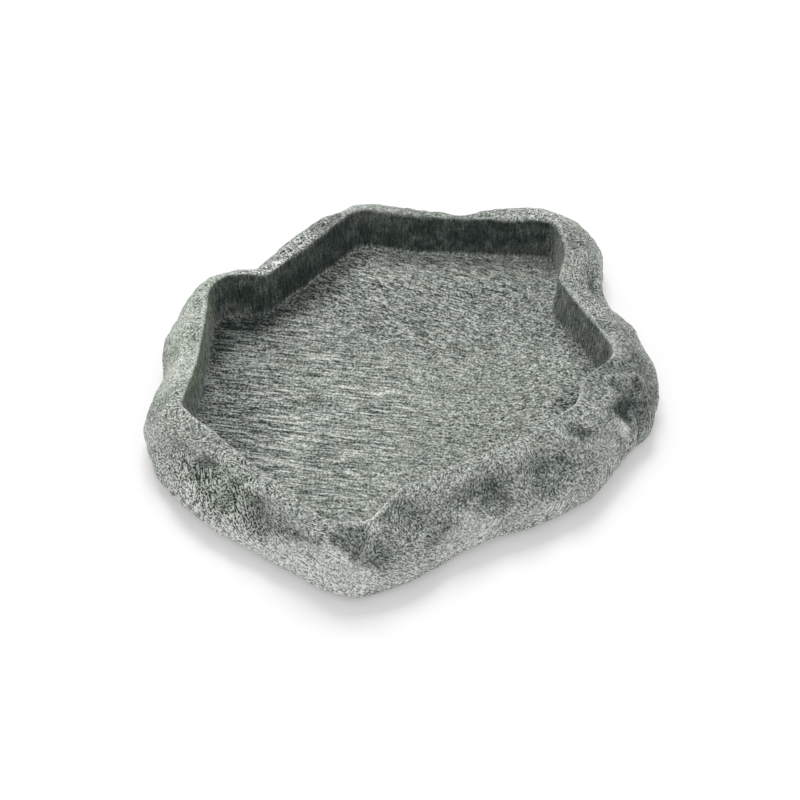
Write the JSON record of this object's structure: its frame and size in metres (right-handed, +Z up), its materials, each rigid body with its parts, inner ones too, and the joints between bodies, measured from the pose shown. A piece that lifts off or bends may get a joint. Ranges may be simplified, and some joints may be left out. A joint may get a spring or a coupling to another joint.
{
  "type": "rock-effect dish",
  "caption": "Shallow rock-effect water or food dish for a terrarium or aquarium: one resin casting with an irregular open basin, on stick-on rubber feet.",
  "frame": {"origin": "on the table under the middle of the dish's bounding box", "axes": "+Z up, out of the basin; +X along the length, to the right; -Y towards the front, which is the pointed lobe"},
  "size_m": [0.2008, 0.1919, 0.0294],
  "materials": {
    "resin": "stone-filled polyester resin, cast with a finely scratched slate texture, then dark washed and dry-brushed in greenish grey",
    "foot_rubber": "soft black rubber, matt",
    "adhesive": "translucent acrylic adhesive film"
  },
  "bodies": {
    "root": {"dish_casting": "resin", "foot_pad_front": "foot_rubber", "foot_adhesive_front": "adhesive", "foot_pad_left": "foot_rubber", "foot_adhesive_left": "adhesive", "foot_pad_back_left": "foot_rubber", "foot_adhesive_back_left": "adhesive", "foot_pad_back_right": "foot_rubber", "foot_adhesive_back_right": "adhesive", "foot_pad_right": "foot_rubber", "foot_adhesive_right": "adhesive"}
  },
  "joints": []
}
